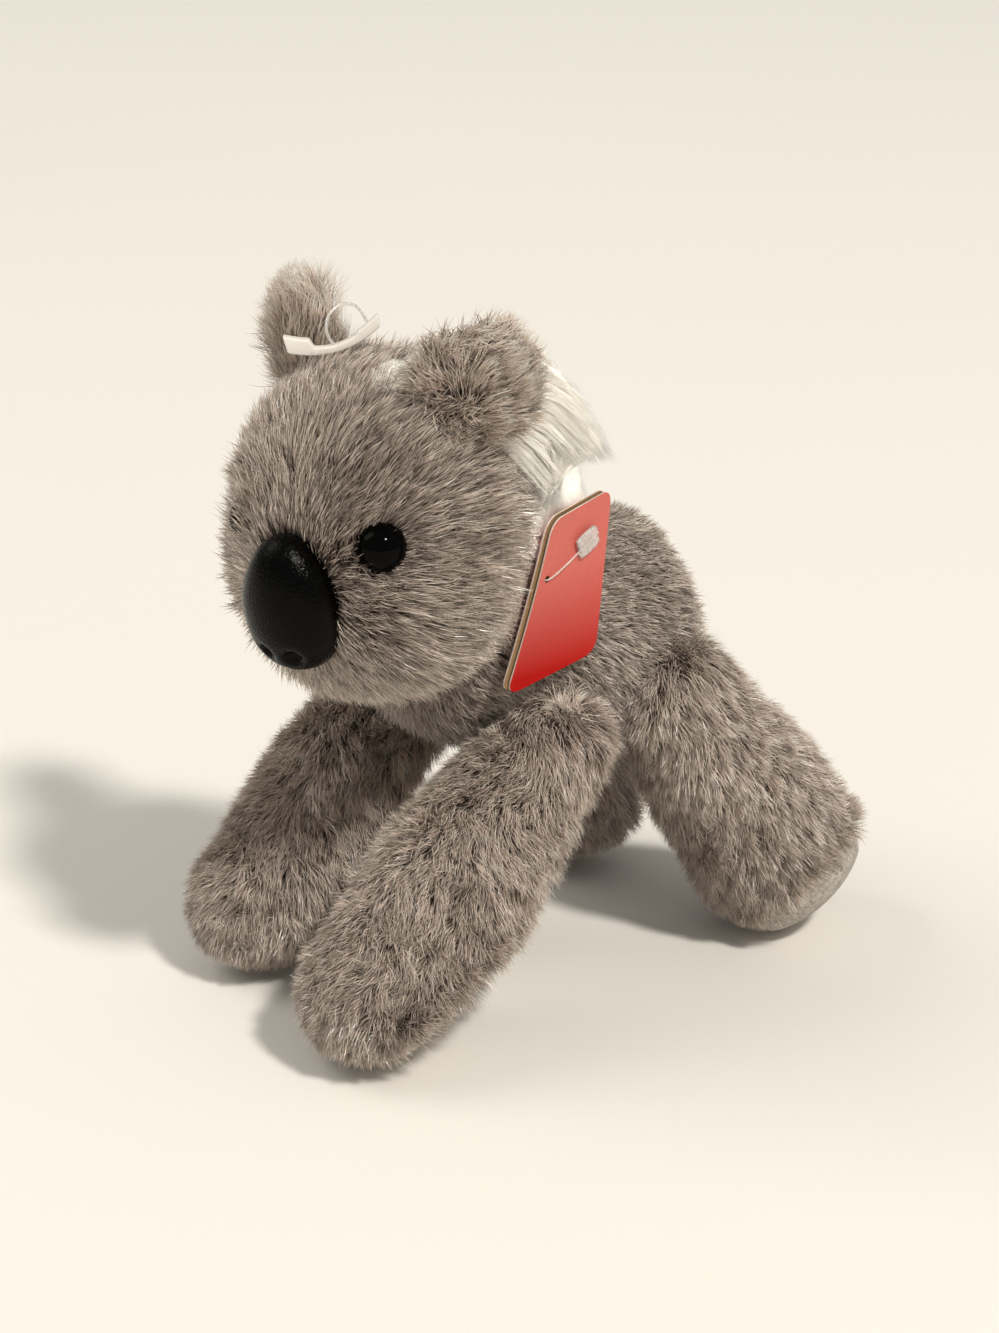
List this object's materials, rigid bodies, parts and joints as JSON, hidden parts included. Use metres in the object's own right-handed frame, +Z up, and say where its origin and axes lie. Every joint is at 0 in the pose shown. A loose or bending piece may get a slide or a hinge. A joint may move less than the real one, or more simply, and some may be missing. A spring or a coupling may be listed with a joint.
{
  "type": "plush koala",
  "caption": "Plush koala on all fours: head that turns and nods, hinged ears, swinging arms and legs, hard nose and eyes, a folded hang tag and a bar on the crown.",
  "frame": {"origin": "on the floor, under the middle of the toy's bounding box", "axes": "+Z up; the koala faces -Y and its left side is +X"},
  "size_m": [0.0994, 0.1507, 0.1561],
  "materials": {
    "grey_body_plush": "matted short pile",
    "grey_plush": "soft pile",
    "white_long_plush": "long soft pile",
    "sole_velour": "short velour",
    "polyester_fibre": "loose fibre, hidden",
    "pouch_cloth": "plain weave, hidden",
    "washer_plastic": "moulded, hidden",
    "black_plastic": "satin, grained",
    "black_glossy_plastic": "polished",
    "red_card": "printed, satin",
    "clear_nylon": "clear",
    "hanger_plastic": "white, moulded"
  },
  "bodies": {
    "torso": {"body_skin": "grey_body_plush", "body_filling": "polyester_fibre", "belly_pouch": "pouch_cloth"},
    "neck": {"neck_filling": "polyester_fibre"},
    "head": {"head_skin": "grey_plush", "head_filling": "polyester_fibre", "nose": "black_plastic", "nose_washer": "washer_plastic", "eye_left": "black_glossy_plastic", "eye_left_washer": "washer_plastic", "eye_right": "black_glossy_plastic", "eye_right_washer": "washer_plastic", "tag_fastener": "clear_nylon", "hang_loop": "clear_nylon"},
    "ear_left": {"ear_left_outer": "grey_plush", "ear_left_lining": "white_long_plush"},
    "ear_right": {"ear_right_outer": "grey_plush", "ear_right_lining": "white_long_plush"},
    "arm_left": {"arm_left_skin": "grey_plush", "arm_left_sole": "sole_velour", "arm_left_filling": "polyester_fibre", "arm_left_pouch": "pouch_cloth"},
    "arm_right": {"arm_right_skin": "grey_plush", "arm_right_sole": "sole_velour", "arm_right_filling": "polyester_fibre", "arm_right_pouch": "pouch_cloth"},
    "leg_left": {"leg_left_skin": "grey_plush", "leg_left_sole": "sole_velour", "leg_left_filling": "polyester_fibre", "leg_left_pouch": "pouch_cloth"},
    "leg_right": {"leg_right_skin": "grey_plush", "leg_right_sole": "sole_velour", "leg_right_filling": "polyester_fibre", "leg_right_pouch": "pouch_cloth"},
    "tag": {"tag_card": "red_card"},
    "hang_bar": {"hang_bar": "hanger_plastic"}
  },
  "joints": [
    {"name": "neck_turn", "type": "hinge", "parent": "torso", "child": "neck", "pos_m": [0, -0.0086, 0.08], "axis": [0, 0, 1], "range_deg": [-36, 3]},
    {"name": "head_nod", "type": "hinge", "parent": "neck", "child": "head", "pos_m": [0, -0.0086, 0.08], "axis": [0.9613, 0.2756, 0], "range_deg": [-12, 6]},
    {"name": "ear_left_flap", "type": "hinge", "parent": "head", "child": "ear_left", "pos_m": [0.02887, -0.03449, 0.13556], "axis": [0.519, 0.7143, -0.4695], "range_deg": [-10, 10]},
    {"name": "ear_right_flap", "type": "hinge", "parent": "head", "child": "ear_right", "pos_m": [-0.0164, -0.03775, 0.134], "axis": [0.8996, -0.3635, 0.2419], "range_deg": [-10, 10]},
    {"name": "arm_left_swing", "type": "hinge", "parent": "torso", "child": "arm_left", "pos_m": [0.025, -0.0071, 0.059], "axis": [1, 0, 0], "range_deg": [-12, 12]},
    {"name": "arm_right_swing", "type": "hinge", "parent": "torso", "child": "arm_right", "pos_m": [-0.025, -0.0071, 0.059], "axis": [1, 0, 0], "range_deg": [-12, 12]},
    {"name": "leg_left_swing", "type": "hinge", "parent": "torso", "child": "leg_left", "pos_m": [0.023, 0.0304, 0.061], "axis": [1, 0, 0], "range_deg": [-12, 12]},
    {"name": "leg_right_swing", "type": "hinge", "parent": "torso", "child": "leg_right", "pos_m": [-0.023, 0.0304, 0.061], "axis": [1, 0, 0], "range_deg": [-12, 12]},
    {"name": "tag_swing", "type": "hinge", "parent": "head", "child": "tag", "pos_m": [0.03031, -0.01335, 0.09902], "axis": [0.9808, 0.1638, -0.1061], "range_deg": [-12, 6]},
    {"name": "hang_bar_turn", "type": "hinge", "parent": "head", "child": "hang_bar", "pos_m": [0.00251, -0.04346, 0.14487], "axis": [-0.227, -0.1762, 0.9578], "range_deg": [-12, 12]}
  ]
}
